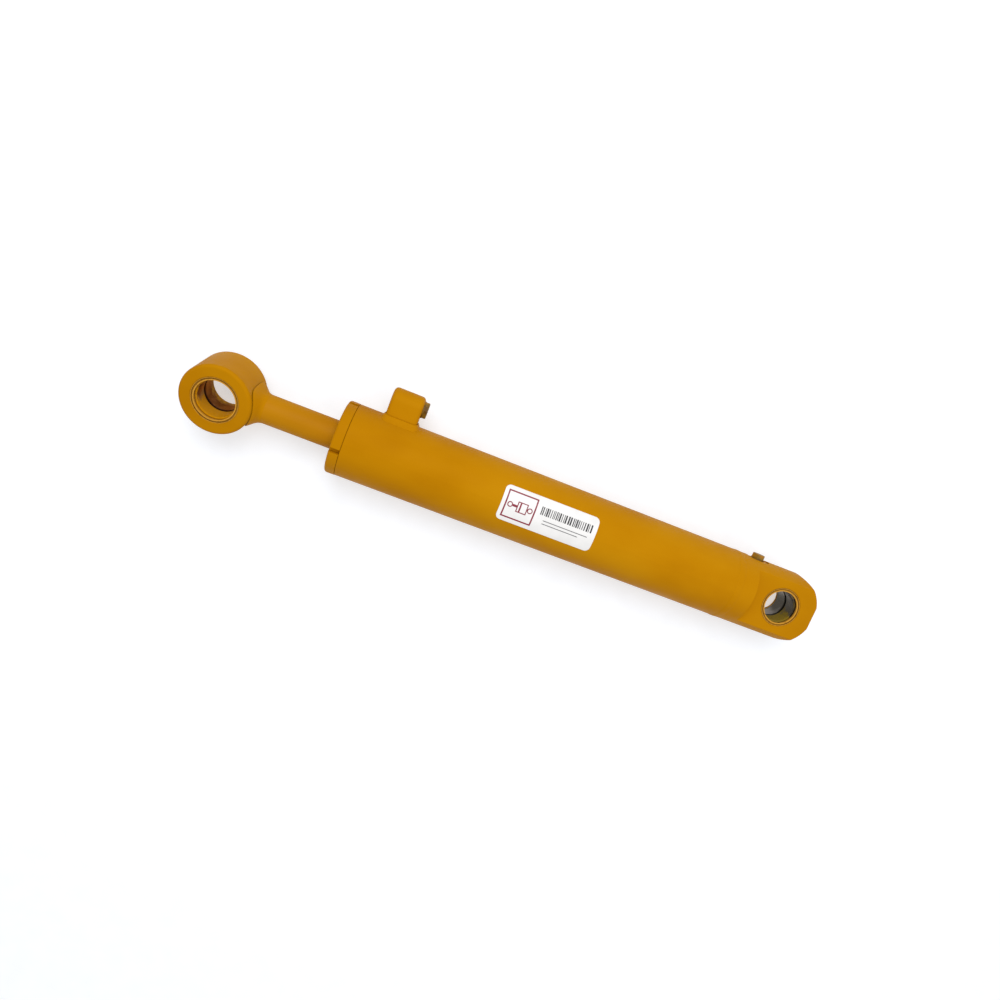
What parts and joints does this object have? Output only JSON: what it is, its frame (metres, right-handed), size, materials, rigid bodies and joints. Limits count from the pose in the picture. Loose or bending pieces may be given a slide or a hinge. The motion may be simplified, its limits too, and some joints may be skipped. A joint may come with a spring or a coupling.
{
  "type": "hydraulic cylinder",
  "caption": "Double-acting hydraulic cylinder, retracted, with a flat-sided pin lug on its base, a round pin eye on its rod and two plugged oil ports.",
  "frame": {"origin": "centre of the base lug's pin bore, halfway along the pin", "axes": "+X along the barrel towards the rod eye; +Z along the base pin; both oil ports lie towards -Y. At rest the rod is retracted and its eye is turned 17.4 degrees about the rod, from +Z towards +Y, as the object was seen"},
  "size_m": [0.8159, 0.128, 0.0908],
  "materials": {
    "yellow_paint": "industrial yellow paint, soft satin gloss, on steel",
    "bushing_steel": "hardened ground steel, lightly oiled",
    "pin_seal": "dust seal, oversprayed with the yellow paint",
    "black_rubber": "nitrile O-ring",
    "polyurethane": "polyurethane seal",
    "guide_ring": "fabric-filled guide ring",
    "chrome_rod": "hard chrome; yellow overspray where it was exposed when painted",
    "piston_steel": "turned steel",
    "plug_steel": "steel plug, partly covered by the yellow paint",
    "grease_fitting": "zinc-plated fitting, sprayed over with the yellow paint",
    "label": null
  },
  "bodies": {
    "barrel": {"barrel_tube": "yellow_paint", "base_lug": "yellow_paint", "base_weld": "yellow_paint", "base_bushing_upper": "bushing_steel", "base_bushing_lower": "bushing_steel", "base_pin_seal_upper": "pin_seal", "base_pin_seal_lower": "pin_seal", "base_port_plug": "plug_steel", "base_port_plug_o_ring": "black_rubber", "base_grease_fitting": "grease_fitting", "rod_port_boss": "yellow_paint", "rod_port_weld": "yellow_paint", "rod_port_plug": "plug_steel", "rod_port_plug_o_ring": "black_rubber", "head_gland": "yellow_paint", "gland_o_ring": "black_rubber", "gland_backup_ring": "guide_ring", "rod_wiper": "polyurethane", "rod_seal": "polyurethane", "rod_buffer_seal": "polyurethane", "gland_wear_ring_outer": "guide_ring", "gland_wear_ring_inner": "guide_ring", "label": "label"},
    "piston_rings": {"piston_seal": "polyurethane", "piston_seal_energizer": "black_rubber", "piston_wear_ring_front": "guide_ring", "piston_wear_ring_rear": "guide_ring"},
    "rod": {"piston_rod": "chrome_rod", "rod_eye": "yellow_paint", "rod_eye_weld": "yellow_paint", "rod_bushing_upper": "bushing_steel", "rod_bushing_lower": "bushing_steel", "rod_pin_seal_upper": "pin_seal", "rod_pin_seal_lower": "pin_seal", "rod_grease_fitting": "grease_fitting", "piston": "piston_steel", "piston_o_ring": "black_rubber", "piston_nut": "piston_steel"}
  },
  "joints": [
    {"name": "rod_slide", "type": "slide", "parent": "barrel", "child": "piston_rings", "axis": [1, 0, 0], "range_m": [0, 0.375]},
    {"name": "rod_turn", "type": "hinge", "parent": "piston_rings", "child": "rod", "pos_m": [0.12, 0, 0], "axis": [1, 0, 0], "continuous": true}
  ]
}
